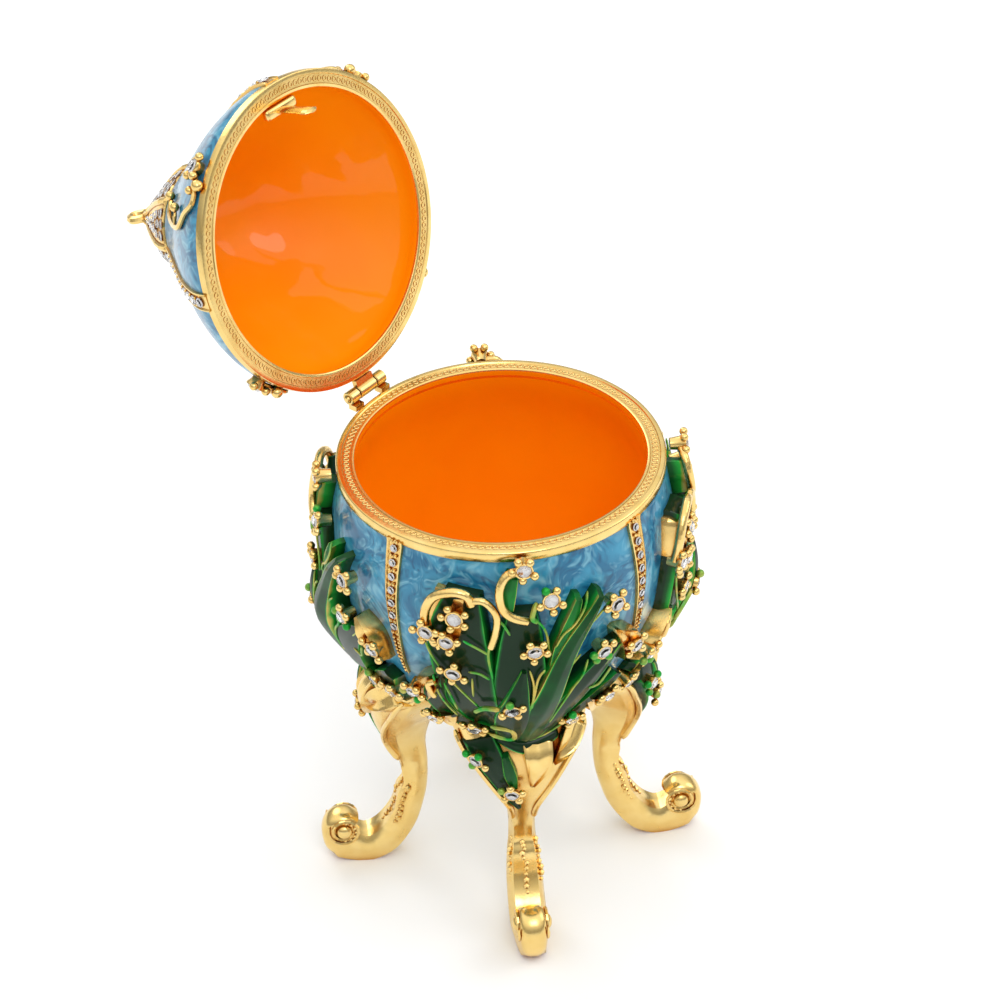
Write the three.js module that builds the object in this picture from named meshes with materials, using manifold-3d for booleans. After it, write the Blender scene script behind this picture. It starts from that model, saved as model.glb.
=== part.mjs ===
// A cast trinket box in the shape of an egg: a bowl on four cabriole legs, with leaves and blossoms on
// four sides, and a lid hinged at the back, shown open. Millimetres, +Z up, hinge at +Y, clasp at -Y.
// The egg's own frame has its origin on the axis, in the plane of the bowl's rim.

import * as THREE from 'three';
import { mergeVertices } from 'three/addons/utils/BufferGeometryUtils.js';
import Module from 'manifold-3d';

const wasm = await Module();
wasm.setup();

// ---------- driving dimensions ----------
const RIM_RADIUS = 25;
const RIM_HEIGHT = 78.4; // of the bowl's rim above the table
const AXIS_Y = -24.2; // of the egg's axis, so that the open box is centred on the origin
const GAP = 0.3; // left between separate castings
const OPEN_ANGLE = 107; // of the lid, in degrees
const ROUND_STEPS = 24; // sides of a full turn
const SEAT_STEPS = 16; // sides of the rooms cut for castings that sit on the egg
const LEG_ANGLES = { front_left: -135, front_right: -45, back_right: 45, back_left: 135 };
const STRIP_ANGLES = [-90, 0, 90, 180];

const BOWL_OUTSIDE = [
  [0, -48.4], [6, -47.5], [11.8, -44.2], [17, -39], [20.8, -33.3], [23.8, -27], [25.5, -20.5], [26.4, -13],
  [26.1, -7.5], [25, -1.6], [RIM_RADIUS, 0],
];
const BOWL_INSIDE = [
  [22.5, 0], [22.6, -1.8], [23.9, -10], [23.4, -18], [20.8, -27.5], [16, -36], [8.6, -42.4], [0, -44.8],
];
const LID_RIM_RADIUS = 24.7;
const LID_INSIDE = [[0, 25], [5.6, 23.4], [9.8, 20], [13.2, 16], [16.3, 12], [21.3, 4], [21.9, GAP]];
const LID_OUTSIDE = [
  [LID_RIM_RADIUS, GAP], [LID_RIM_RADIUS, 1.8], [24.1, 4.2], [22, 8.2], [19.4, 12], [13.3, 20], [10.4, 24],
  [8.4, 25], [0, 27.6],
];

const GOLD = 0xdcb45e;
const BLUE = 0x5aa3c4;
const LEAF = 0x1f4a2c;

// ---------- small tools ----------
const radians = THREE.MathUtils.degToRad;
const lerp = THREE.MathUtils.lerp;

// Reads a curve of [value, z] points at a height; the points run up or down in z.
function valueAt(points, z) {
  const rows = points[0][1] < points.at(-1)[1] ? points : [...points].reverse();
  const next = rows.findIndex((row) => row[1] >= z);
  if (next <= 0) {
    return next === 0 ? rows[0][0] : rows.at(-1)[0];
  }
  const [low, high] = [rows[next - 1], rows[next]];
  return lerp(low[0], high[0], (z - low[1]) / (high[1] - low[1]));
}

const bowlRadius = (z) => valueAt(BOWL_OUTSIDE, Math.min(z, 0));
const lidRadius = (z) => valueAt(LID_OUTSIDE, z);

// A point at an angle round the egg's axis, in degrees.
function around(angle, radius, z) {
  return new THREE.Vector3(radius * Math.cos(radians(angle)), radius * Math.sin(radians(angle)), z);
}

// A closed solid: shared vertices merged, faces turned outwards, held as a manifold.
function solid(geometry) {
  const bare = geometry.clone();
  bare.deleteAttribute('normal');
  bare.deleteAttribute('uv');
  const merged = mergeVertices(bare, 1e-4);
  const place = merged.attributes.position;
  const corners = [...merged.index.array];
  const faces = [];
  let volume = 0;
  for (let i = 0; i < corners.length; i += 3) {
    const face = corners.slice(i, i + 3);
    if (new Set(face).size === 3) {
      faces.push(face);
      const [a, b, c] = face.map((k) => new THREE.Vector3().fromBufferAttribute(place, k));
      volume += a.dot(b.cross(c));
    }
  }
  const triangles = volume < 0 ? faces.map((face) => face.reverse()) : faces;
  return new wasm.Manifold(new wasm.Mesh({
    numProp: 3,
    vertProperties: new Float32Array(place.array),
    triVerts: new Uint32Array(triangles.flat()),
  }));
}

const join = (solids) => solids.reduce((whole, next) => whole.add(next));

function geometryOf(shape) {
  const mesh = shape.getMesh();
  const geometry = new THREE.BufferGeometry();
  geometry.setAttribute('position', new THREE.BufferAttribute(new Float32Array(mesh.vertProperties), 3));
  geometry.setIndex(new THREE.BufferAttribute(new Uint32Array(mesh.triVerts), 1));
  return geometry;
}

// A turned shape about +Z from [radius, z] points.
function turned(points, steps = ROUND_STEPS) {
  const outline = points.map(([radius, z]) => new THREE.Vector2(radius, z));
  return new THREE.LatheGeometry(outline, steps).rotateX(Math.PI / 2);
}

// A closed body between two grids of points with the same rows and columns.
function between(outer, inner) {
  const rows = outer.length;
  const columns = outer[0].length;
  const points = [...outer.flat(), ...inner.flat()];
  const at = (side, row, column) => side * rows * columns + row * columns + column;
  const faces = [];
  const quad = (a, b, c, d) => faces.push(a, b, c, a, c, d);
  for (let row = 0; row + 1 < rows; row += 1) {
    for (let column = 0; column + 1 < columns; column += 1) {
      quad(at(0, row, column), at(0, row, column + 1), at(0, row + 1, column + 1), at(0, row + 1, column));
      quad(at(1, row, column), at(1, row + 1, column), at(1, row + 1, column + 1), at(1, row, column + 1));
    }
    const last = columns - 1;
    quad(at(0, row, 0), at(0, row + 1, 0), at(1, row + 1, 0), at(1, row, 0));
    quad(at(0, row, last), at(1, row, last), at(1, row + 1, last), at(0, row + 1, last));
  }
  for (let column = 0; column + 1 < columns; column += 1) {
    const end = rows - 1;
    quad(at(0, 0, column), at(1, 0, column), at(1, 0, column + 1), at(0, 0, column + 1));
    quad(at(0, end, column), at(0, end, column + 1), at(1, end, column + 1), at(1, end, column));
  }
  const geometry = new THREE.BufferGeometry().setFromPoints(points);
  geometry.setIndex(faces);
  return geometry;
}

// A round wire through a list of points.
function wire(points, radius, steps, sides = 5) {
  const section = new THREE.Shape();
  for (let side = 0; side < sides; side += 1) {
    const turn = (2 * Math.PI * side) / sides;
    section[side ? 'lineTo' : 'moveTo'](radius * Math.cos(turn), radius * Math.sin(turn));
  }
  const path = new THREE.CatmullRomCurve3(points);
  return new THREE.ExtrudeGeometry(section, { steps, extrudePath: path });
}

// Sets a shape made along +Z at a point, with its +Z turned along a direction.
function facing(geometry, place, direction) {
  const turn = new THREE.Quaternion().setFromUnitVectors(new THREE.Vector3(0, 0, 1), direction.normalize());
  return geometry.applyQuaternion(turn).translate(place.x, place.y, place.z);
}

function mesh(name, shape, color, roughness = 0.35, metalness = 0.8) {
  const geometry = shape.isBufferGeometry ? shape : geometryOf(shape);
  const material = new THREE.MeshStandardMaterial({ color, roughness, metalness });
  const part = new THREE.Mesh(geometry, material);
  part.name = name;
  return part;
}

// ---------- places on the egg ----------
// A point over the bowl: an angle, a height and a distance out from the enamel.
const onBowl = (angle, z, out) => around(angle, bowlRadius(z) + out, z);
const onLid = (angle, z, out) => around(angle, lidRadius(z) + out, z);

// The outward direction at a place on a surface of revolution.
function outward(place, angle, z) {
  const step = 0.5;
  const slope = place(angle, z + step, 0).sub(place(angle, z - step, 0));
  const sideways = around(angle + 90, 1, 0);
  return sideways.cross(slope).normalize();
}

// ---------- stone strips ----------
const STRIP_RELIEF = 0.35;
const STRIP_DEPTH = 0.8; // buried in the wall

// A raised strip down the egg, narrowing towards its end.
function stoneStrip(place, angle, heights, startWidth, endWidth) {
  const grid = (out) => heights.map((z, row) => {
    const radius = place(0, z, 0).x;
    const half = lerp(startWidth, endWidth, row / (heights.length - 1)) / 2;
    return [-half, half].map((across) => place(angle + (180 / Math.PI) * (across / radius), z, out));
  });
  return solid(between(grid(STRIP_RELIEF), grid(-STRIP_DEPTH)));
}

// ---------- bowl ----------
const CATCH_HALF_ANGLE = 10;

// A lip on the inner edge at the front, which the lid's tongue snaps under.
function catchLip() {
  const angles = [-1, -0.6, 0.6, 1].map((side) => -90 + side * CATCH_HALF_ANGLE);
  const radii = [22.7, 21.9, 21.9, 22.7];
  const row = (z, reach) => angles.map((angle, k) => around(angle, reach ?? radii[k], z));
  const grid = (z) => [row(z, 23.2), row(z)];
  return solid(between(grid(-0.02), grid(-1.6)));
}

function bowl() {
  const shell = solid(turned([...BOWL_OUTSIDE, ...BOWL_INSIDE]));
  const heights = [-0.9, -4.5, -9, -14, -20, -27];
  const strips = STRIP_ANGLES.map((angle) => stoneStrip(onBowl, angle, heights, 3.1, 0.7));
  return join([shell, catchLip(), ...strips]);
}

// ---------- legs ----------
const LEG_THROAT = 2.2; // half width where the leg is narrowest
const FLOOR = -RIM_HEIGHT;
const ROLL_CENTRE = [27.8, -72];
const ROLL_HALF_WIDTH = 2.3;
const BUTTON = { radius: 1.3, reach: 3.1 };

// Stations down the leg: outer edge, inner edge and side edge as [reach, z], and the half width.
const LEG_STATIONS = [
  { outer: [20.6, -38.4], inner: [12, -38.4], edge: [15.6, -38.4], half: 10.7 },
  { outer: [22.4, -41.5], inner: [9, -41.5], edge: [16.4, -41], half: 9.9 },
  { outer: [22.7, -45.5], inner: [8.8, -45], edge: [17.6, -45], half: 7.6 },
  { outer: [21.9, -50], inner: [12, -49], edge: [18.6, -49.8], half: 5 },
  { outer: [20, -55], inner: [13.6, -54.5], edge: [18, -55], half: 2.8 },
  { outer: [18.2, -59.2], inner: [13.5, -59.4], edge: [16, -59.3], half: LEG_THROAT },
  { outer: [17.6, -63.2], inner: [13.7, -64], edge: [15.7, -63.6], half: LEG_THROAT },
  { outer: [18.8, -65.4], inner: [14.5, -68], edge: [16.5, -66.6], half: 2.6 },
  { outer: [19.7, -69], inner: [16, -72.3], edge: [17.8, -70.6], half: 2.9 },
  { outer: [21.8, -72.2], inner: [19, -76.4], edge: [20.4, -74.2], half: 3 },
  { outer: [24, -73.6], inner: [23, FLOOR], edge: [23.4, -76], half: 3 },
  { outer: [25.9, -72.8], inner: [26.2, FLOOR], edge: [26, -75.6], half: 2.8 },
];

// The strap's end rolls round the scroll's centre in equal turns.
const ROLL_RADII = [5.6, 3.9, 3.3, 3, 2.9, 2.9];

function rollStations() {
  return ROLL_RADII.map((radius, k) => {
    const turn = radians(lerp(-62, 150, k / (ROLL_RADII.length - 1)));
    const along = (reach) => [ROLL_CENTRE[0] + reach * Math.cos(turn), ROLL_CENTRE[1] + reach * Math.sin(turn)];
    return { outer: along(0.3), inner: along(radius), edge: along(radius * 0.55), half: ROLL_HALF_WIDTH };
  });
}

// One leg in the plane y = 0, reaching out along +X.
function legBlank() {
  const stations = [...LEG_STATIONS, ...rollStations()];
  const across = [-1, -0.55, 0, 0.55, 1];
  const fullness = [0.12, 0.85, 1, 0.85, 0.12];
  const grid = (side) => stations.map((station) => across.map((share, k) => {
    const reach = lerp(station.edge[0], station[side][0], fullness[k]);
    const z = lerp(station.edge[1], station[side][1], side === 'inner' && fullness[k] > 0.5 ? 1 : fullness[k]);
    return new THREE.Vector3(reach, share * station.half, z);
  }));
  const strap = solid(between(grid('outer'), grid('inner')));
  const button = new THREE.CylinderGeometry(BUTTON.radius, BUTTON.radius, 2 * BUTTON.reach, 6);
  button.translate(ROLL_CENTRE[0], 0, ROLL_CENTRE[1]);
  return strap.add(solid(button));
}

// The room that the egg takes, with its gap, turned with few sides that stay outside the true round.
function bowlRoom() {
  const grow = 1 / Math.cos(Math.PI / SEAT_STEPS);
  const outline = BOWL_OUTSIDE.map(([radius, z]) => [radius ? radius * grow + GAP : 0, z < -40 ? z - GAP : z]);
  return solid(turned([...outline, [RIM_RADIUS * grow + GAP, 4], [0, 4]], SEAT_STEPS));
}

const leg = () => legBlank().subtract(bowlRoom());

// ---------- leaf sprays on the bowl ----------
// Every place on a spray is an angle from the panel's middle, a height and a distance from the enamel.
const SPRAY_FOOT = -38; // just over the leg
const LEAF_LIFT = 2.1;
const KEEL_LIFT = 3; // more relief low down in the panel's middle
const MM_PER_DEGREE = radians(25); // round the egg where the sprays lie

function sprayLift(angle, z) {
  const low = THREE.MathUtils.smoothstep(-z, 13, 27);
  return LEAF_LIFT + KEEL_LIFT * low * Math.exp(-((angle / 15) ** 2));
}

// A leaf from its base to its tip, with a bowed midrib that stands up or sinks in; bend and half in mm.
function leafPatch({ base, tip, bend = 0, half, crease = 0.6, fullness = [0.5, 0.95, 1, 0.2] }) {
  const start = new THREE.Vector2(base[0] * MM_PER_DEGREE, base[1]);
  const run = new THREE.Vector2(tip[0] * MM_PER_DEGREE, tip[1]).sub(start);
  const across = new THREE.Vector2(-run.y, run.x).normalize();
  const grid = (inside) => fullness.map((full, row) => [-1, 0, 1].map((side) => {
    const along = row / (fullness.length - 1);
    const shift = bend * Math.sin(Math.PI * along) + side * half * full;
    const spot = start.clone().addScaledVector(run, along).addScaledVector(across, shift);
    const angle = spot.x / MM_PER_DEGREE;
    return onBowl(angle, spot.y, inside ? -LEAF_LIFT : sprayLift(angle, spot.y) + (side ? 0 : crease));
  }));
  return solid(between(grid(false), grid(true)));
}

const LEAVES = [
  { base: [-11, -33], tip: [-19, -5.4], bend: 1, half: 4.4, crease: -0.7, fullness: [0.5, 1, 1.1, 0.6] },
  { base: [-3, -33], tip: [-1, -8.5], half: 3.2, crease: 0.5, fullness: [0.6, 1, 0.3] },
  { base: [2, -37.5], tip: [27, -8.5], bend: 1, half: 2.4, crease: 0.8, fullness: [0.5, 1, 0.3] },
  { base: [4, -36.5], tip: [36, -20.5], bend: -1.5, half: 2.6, crease: 0.7, fullness: [0.5, 1, 0.3] },
  { base: [-12, -36.5], tip: [-38.5, -27], bend: 1.5, half: 2.6, crease: 0.6, fullness: [0.5, 1, 0.4] },
  { base: [-35, -37], tip: [36, -36], half: 4.6, crease: 0.5, fullness: [0.3, 1, 0.4] },
];

// Stems and rolled leaf edges, as points on the bowl with the wire's radius.
const STEMS = [
  { radius: 0.75, steps: 4, points: [[1, -10.5, 1], [-7.3, -7, 1.6], [-5.6, -2.8, 2.2], [0, -1.4, 2.2]] },
  { radius: 0.8, steps: 4, points: [[-29.5, -11, 1], [-25.5, -6, 1.8], [-16, -5.4, 2], [-8.6, -9.5, 1.2]] },
  { radius: 0.6, steps: 3, points: [[3, -16, 2], [7.4, -11.5, 2.4], [8, -6.7, 2]] },
  { radius: 0.7, steps: 1, points: [[20, -27.5, 0.9], [24.8, -19.4, 1.2]] },
];

const BLOSSOMS = [
  [0.4, -1.2], [8, -6.7], [28.8, -10.8], [2.6, -15.6], [24.8, -19.4], [-20.5, -9.6], [-29, -13],
  [-23.2, -14.4], [-21.9, -20.6], [-4.4, -26.5], [-18.9, -36], [19.5, -35.6], [38.4, -22], [35, -33.8],
  [-38.8, -28.4], [-37.4, -36],
];
const BLOSSOM = { radius: 1.9, rise: 1.9, height: 3, sides: 4 };

// A blossom: a four-sided cup that rises to its stone, standing off the leaves.
function blossom(angle, z) {
  const cup = turned([[0, 0], [BLOSSOM.radius, BLOSSOM.rise], [0, BLOSSOM.height]], BLOSSOM.sides);
  const root = sprayLift(angle, z) - 1.2;
  return solid(facing(cup, onBowl(angle, z, root), outward(onBowl, angle, z)));
}

function spray() {
  const stems = STEMS.map(({ points, radius, steps }) => {
    const path = points.map(([angle, z, out]) => onBowl(angle, z, out + sprayLift(angle, z) - LEAF_LIFT));
    return solid(wire(path, radius, steps, 3));
  });
  const leaves = LEAVES.map(leafPatch);
  const blossoms = BLOSSOMS.map(([angle, z]) => blossom(angle, z));
  const legRoom = block([-40, 40], [-40, 40], [SPRAY_FOOT - 20, SPRAY_FOOT]);
  return join([...leaves, ...stems, ...blossoms]).subtract(bowlRoom()).subtract(legRoom);
}

// ---------- lid ----------
function lid() {
  const shell = solid(turned([...LID_INSIDE, ...LID_OUTSIDE]));
  const heights = [1, 4.2, 8.2, 12, 20, 23.2];
  const strips = STRIP_ANGLES.map((angle) => stoneStrip(onLid, angle, heights, 3.1, 1.2));
  return join([shell, ...strips]);
}

// A hooked stem with a blossom near the rim and a bud, on the lid's panel.
const SPRIG_STEM = [[1.4, 3.6], [-9.5, 2.6], [-14, 5], [-19.2, 8], [-17.3, 13.6], [-12.4, 17], [-5, 17.6]];
const SPRIG_BUDS = [[-3.4, 17.6, 1], [-11.4, 9.8, 0.9]]; // at the hook's end and inside it
const SPRIG_TWIG = [[-18.5, 10], [-11.4, 9.8]];
const SPRIG_OUT = 1.05;
const SPRIG_BLOSSOM = { angle: 2.2, z: 3.8, ring: 1.6, balls: 5, ball: 1.1 };

function sprigBall(angle, z, radius) {
  const { x, y, z: height } = onLid(angle, z, SPRIG_OUT + 0.2);
  return solid(new THREE.OctahedronGeometry(radius).translate(x, y, height));
}

function sprig() {
  const { angle, z, ring, balls, ball } = SPRIG_BLOSSOM;
  const stem = solid(wire(SPRIG_STEM.map(([turn, height]) => onLid(turn, height, SPRIG_OUT)), 0.55, 8, 3));
  const cup = turned([[0, 0], [1.7, 1.2], [0, 2.2]], 5);
  const head = solid(facing(cup, onLid(angle, z, SPRIG_OUT - 0.4), outward(onLid, angle, z)));
  const petals = Array.from({ length: balls }, (_, k) => {
    const turn = (2 * Math.PI * k) / balls;
    return sprigBall(angle + (ring * Math.cos(turn)) / MM_PER_DEGREE, z + ring * Math.sin(turn), ball);
  });
  const buds = SPRIG_BUDS.map((bud) => sprigBall(...bud));
  const twig = wire(SPRIG_TWIG.map(([turn, height]) => onLid(turn, height, SPRIG_OUT)), 0.45, 1, 3);
  return join([stem, solid(twig), head, ...petals, ...buds]);
}

// ---------- crown ----------
const CROWN_RIDGES = 8;
const CROWN_SWELL = 0.055; // of a ridge over the mean radius
const CROWN_PROFILE = [
  [0, 24.6], [9, 24.9], [8.9, 26.4], [8.1, 28.4], [5.3, 32.8], [1.9, 37.4], [1, 39.2], [0, 40],
];
const LOOP = { z: 41.5, width: 2.05, height: 1.95, hole: 0.85, thickness: 1.8 };

// A ridged cone whose foot sits over the lid's top, and the small ring at its tip.
function crown() {
  const cone = turned(CROWN_PROFILE, 2 * CROWN_RIDGES);
  const place = cone.attributes.position;
  for (let k = 0; k < place.count; k += 1) {
    const angle = Math.atan2(place.getY(k), place.getX(k));
    const swell = 1 + CROWN_SWELL * Math.cos(CROWN_RIDGES * angle);
    place.setX(k, place.getX(k) * swell);
    place.setY(k, place.getY(k) * swell);
  }
  const cap = LID_OUTSIDE.filter(([, z]) => z > 20).map(([radius, z]) => [radius && radius + GAP, z + GAP]);
  const seated = solid(cone).subtract(solid(turned([[0, 20], ...cap])));
  const outline = new THREE.Shape();
  const hole = new THREE.Path();
  for (let side = 0; side < 8; side += 1) {
    const turn = radians(45 * side + 22.5);
    outline[side ? 'lineTo' : 'moveTo'](LOOP.width * Math.cos(turn), LOOP.height * Math.sin(turn));
    hole[side ? 'lineTo' : 'moveTo'](LOOP.hole * Math.cos(-turn), LOOP.hole * Math.sin(-turn));
  }
  outline.holes.push(hole);
  const ring = new THREE.ExtrudeGeometry(outline, { depth: LOOP.thickness, bevelEnabled: false });
  ring.translate(0, 0, -LOOP.thickness / 2).rotateX(Math.PI / 2).translate(0, 0, LOOP.z);
  return seated.add(solid(ring));
}

// ---------- clasp tongue ----------
// A pad under the lid's front rim and a rounded tongue that hangs into the bowl.
function claspTongue() {
  const reach = 20.2;
  const pad = new THREE.BoxGeometry(6.4, 1.2, 1.2).translate(0, -reach - 0.1, 1.1);
  const outline = new THREE.Shape();
  outline.moveTo(-1.3, 1.2);
  outline.lineTo(-1.1, -3.6);
  outline.absarc(0, -4.9, 1.4, Math.PI, 2 * Math.PI);
  outline.lineTo(1.1, -3.6);
  outline.lineTo(1.3, 1.2);
  const blade = new THREE.ExtrudeGeometry(outline, { depth: 0.7, bevelEnabled: false, curveSegments: 5 });
  blade.rotateX(Math.PI / 2).translate(0, -reach + 0.3, 0);
  return join([solid(pad), solid(blade)]);
}

// ---------- hinge ----------
const PIN = { y: 27.14, z: 0.95, radius: 0.4, hole: 0.68, barrel: 1.1, half: 4.1 };
const KNUCKLE_HALF = 1.9;

// A barrel along X with a hole for the pin, in the egg's frame.
function barrel(from, to) {
  const outline = new THREE.Shape().absarc(0, 0, PIN.barrel, 0, 2 * Math.PI);
  outline.holes.push(new THREE.Path().absarc(0, 0, PIN.hole, 0, 2 * Math.PI, true));
  const tube = new THREE.ExtrudeGeometry(outline, { depth: to - from, bevelEnabled: false, curveSegments: 4 });
  return tube.rotateX(Math.PI / 2).rotateZ(Math.PI / 2).translate(from, PIN.y, PIN.z);
}

const pinRoom = () => {
  const core = new THREE.CylinderGeometry(PIN.hole, PIN.hole, 12, 8).rotateZ(Math.PI / 2);
  return solid(core.translate(0, PIN.y, PIN.z));
};

function block(x, y, z) {
  const box = new THREE.BoxGeometry(x[1] - x[0], y[1] - y[0], z[1] - z[0]);
  return solid(box.translate((x[0] + x[1]) / 2, (y[0] + y[1]) / 2, (z[0] + z[1]) / 2));
}

function hingeBowl() {
  const inner = RIM_RADIUS + STRIP_RELIEF + GAP;
  const plate = block([-PIN.half, PIN.half], [inner, PIN.y + 0.6], [-1.4, -0.5]);
  const sides = [-1, 1].flatMap((side) => {
    const ends = [side * (KNUCKLE_HALF + 0.25), side * PIN.half].sort((a, b) => a - b);
    return [solid(barrel(...ends)), block(ends, [inner + 0.1, PIN.y + 0.6], [-0.8, 0.3])];
  });
  return join([plate, ...sides]).subtract(pinRoom());
}

function hingeLid() {
  const inner = LID_RIM_RADIUS + STRIP_RELIEF + GAP;
  const tab = block([-KNUCKLE_HALF, KNUCKLE_HALF], [inner, PIN.y - 0.3], [0.75, 1.85]);
  return join([solid(barrel(-KNUCKLE_HALF, KNUCKLE_HALF)), tab]).subtract(pinRoom());
}

function hingePin() {
  const pin = new THREE.CylinderGeometry(PIN.radius, PIN.radius, 2 * PIN.half + 0.3, 8);
  return pin.rotateZ(Math.PI / 2).translate(0, PIN.y, PIN.z);
}

// ---------- assembly ----------
const base = new THREE.Group();
base.position.set(0, AXIS_Y, RIM_HEIGHT);
base.add(mesh('bowl', bowl(), BLUE, 0.25, 0.1));
const legShape = geometryOf(leg());
const sprayShape = geometryOf(spray());
for (const [corner, angle] of Object.entries(LEG_ANGLES)) {
  const legMesh = mesh(`leg_${corner}`, legShape.clone(), GOLD);
  legMesh.rotation.z = radians(angle);
  const sprayMesh = mesh(`spray_${corner}`, sprayShape.clone(), LEAF, 0.2, 0.1);
  sprayMesh.rotation.z = radians(angle);
  base.add(legMesh, sprayMesh);
}
base.add(mesh('hinge_bowl', hingeBowl(), GOLD), mesh('hinge_pin', hingePin(), GOLD));

// The lid is modelled closed, and its group turns about the hinge pin.
const swing = new THREE.Group();
swing.position.set(0, AXIS_Y + PIN.y, RIM_HEIGHT + PIN.z);
swing.rotation.x = -radians(OPEN_ANGLE);
const upper = new THREE.Group();
upper.position.set(0, -PIN.y, -PIN.z);
swing.add(upper);
upper.add(mesh('lid', lid(), BLUE, 0.25, 0.1));
const sprigShape = geometryOf(sprig());
for (const [corner, angle] of Object.entries(LEG_ANGLES)) {
  const sprigMesh = mesh(`sprig_${corner}`, sprigShape.clone(), GOLD);
  sprigMesh.rotation.z = radians(angle);
  upper.add(sprigMesh);
}
upper.add(mesh('crown', crown(), GOLD), mesh('clasp_tongue', claspTongue(), GOLD));
upper.add(mesh('hinge_lid', hingeLid(), GOLD));

const box = new THREE.Group();
box.add(base, swing);

export default box;
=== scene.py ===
import math
import random

import bmesh
import bpy
from mathutils import Matrix, Quaternion, Vector
from mathutils.geometry import interpolate_bezier


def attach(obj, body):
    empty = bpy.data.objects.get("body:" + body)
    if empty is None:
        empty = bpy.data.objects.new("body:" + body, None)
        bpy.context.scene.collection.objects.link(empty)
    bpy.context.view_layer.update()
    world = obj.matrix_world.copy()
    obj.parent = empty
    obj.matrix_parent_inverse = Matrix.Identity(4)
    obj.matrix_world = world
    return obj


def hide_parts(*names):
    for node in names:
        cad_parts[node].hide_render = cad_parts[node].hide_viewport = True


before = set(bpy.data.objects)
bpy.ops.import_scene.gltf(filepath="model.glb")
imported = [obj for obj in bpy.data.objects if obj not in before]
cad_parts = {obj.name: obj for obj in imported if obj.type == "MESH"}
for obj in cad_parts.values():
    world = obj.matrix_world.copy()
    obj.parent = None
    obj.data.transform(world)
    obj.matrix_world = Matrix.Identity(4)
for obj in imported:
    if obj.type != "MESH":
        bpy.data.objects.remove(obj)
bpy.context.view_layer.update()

# ---------- the bowl ----------
# The lower half of a hollow egg, cast in zinc alloy and gilded all over. Marbled pearl-blue enamel is
# fired on the outside and plain orange enamel inside; the turned rim stays bare, with a row of little
# rings stamped in a groove. Everything is drawn in mm round the egg's axis, from the rim's centre.
RIM_PLACE = Vector((0, -24.2, 78.4))
PIN = Vector((0, 27.14, 0.95))
OPEN_ANGLE = math.radians(107)
TO_ROW = Matrix.Scale(0.001, 4) @ Matrix.Translation(RIM_PLACE)
FROM_EGG = {
    "base": TO_ROW,
    "lid": TO_ROW @ Matrix.Translation(PIN) @ Matrix.Rotation(-OPEN_ANGLE, 4, "X") @ Matrix.Translation(-PIN),
}


def around(angle, radius, z):
    """A point at an angle round the egg's axis, in degrees."""
    turn = math.radians(angle)
    return Vector((radius * math.cos(turn), radius * math.sin(turn), z))


def smooth_through(points, steps):
    """Points on an even curve through the given ones."""
    rows = [Vector(p).to_3d() for p in points]
    curve = []
    for k, (a, b) in enumerate(zip(rows, rows[1:])):
        before, after = rows[max(k - 1, 0)], rows[min(k + 2, len(rows) - 1)]
        curve += interpolate_bezier(a, a + (b - before) / 6, b - (after - a) / 6, b, steps + 1)[:-1]
    return curve + [rows[-1]]


def read_curve(curve, z):
    """The radius of a [radius, z] curve at a height."""
    rows = sorted(curve, key=lambda p: p[1])
    z = min(max(z, rows[0][1]), rows[-1][1])
    for low, high in zip(rows, rows[1:]):
        if low[1] <= z <= high[1] and high[1] > low[1]:
            return low[0] + (high[0] - low[0]) * (z - low[1]) / (high[1] - low[1])
    return rows[-1][0]


def turned(bm, outline, steps=128):
    """A shape turned about the egg's axis from [radius, z] points."""
    verts = [bm.verts.new((p[0], 0, p[1])) for p in outline]
    edges = [bm.edges.new(pair) for pair in zip(verts, verts[1:])]
    bmesh.ops.spin(bm, geom=verts + edges, axis=(0, 0, 1), cent=(0, 0, 0), angle=2 * math.pi, steps=steps,
                   use_merge=True)
    bmesh.ops.remove_doubles(bm, verts=bm.verts, dist=1e-4)
    bmesh.ops.recalc_face_normals(bm, faces=bm.faces)


def make_piece(name, bm, finishes, body, turn=0, sharp=40):
    """A finished object from a bmesh in mm in the egg's frame, turned about the egg's axis."""
    mesh = bpy.data.meshes.new(name)
    bm.to_mesh(mesh)
    mesh.transform(FROM_EGG[body] @ Matrix.Rotation(math.radians(turn), 4, "Z"))
    for finish in finishes:
        mesh.materials.append(finish)
    mesh.polygons.foreach_set("use_smooth", [True] * len(mesh.polygons))
    mesh.set_sharp_from_angle(angle=math.radians(sharp))
    obj = bpy.data.objects.new(name, mesh)
    bpy.context.scene.collection.objects.link(obj)
    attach(obj, body)
    return obj


def stamp(bm, pattern, place):
    """Adds a copy of a small mesh at a place."""
    moved = pattern.copy()
    moved.transform(place)
    bm.from_mesh(moved)
    bpy.data.meshes.remove(moved)


def linear(code):
    """An sRGB hex colour as the linear one that shaders take."""
    parts = [int(code[k:k + 2], 16) / 255 for k in (0, 2, 4)]
    return (*[c / 12.92 if c <= 0.04045 else ((c + 0.055) / 1.055) ** 2.4 for c in parts], 1)


def add_node(material, kind, inputs=None, **settings):
    """A shader node with its settings, and its inputs set to values or linked to other nodes' outputs."""
    node = material.node_tree.nodes.new("ShaderNode" + kind)
    for key, value in settings.items():
        setattr(node, key, value)
    for key, value in (inputs or {}).items():
        if isinstance(value, bpy.types.NodeSocket):
            material.node_tree.links.new(value, node.inputs[key])
        else:
            node.inputs[key].default_value = value
    return node


def finish(name, **settings):
    """A material with its shader's own sockets set."""
    material = bpy.data.materials.new(name)
    material.use_nodes = True
    for key, value in settings.items():
        material.node_tree.nodes["Principled BSDF"].inputs[key.replace("_", " ")].default_value = value
    return material


def connect(material, **links):
    """Links outputs to the sockets of a material's shader."""
    shader = material.node_tree.nodes["Principled BSDF"]
    for key, output in links.items():
        material.node_tree.links.new(output, shader.inputs[key.replace("_", " ")])


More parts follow.
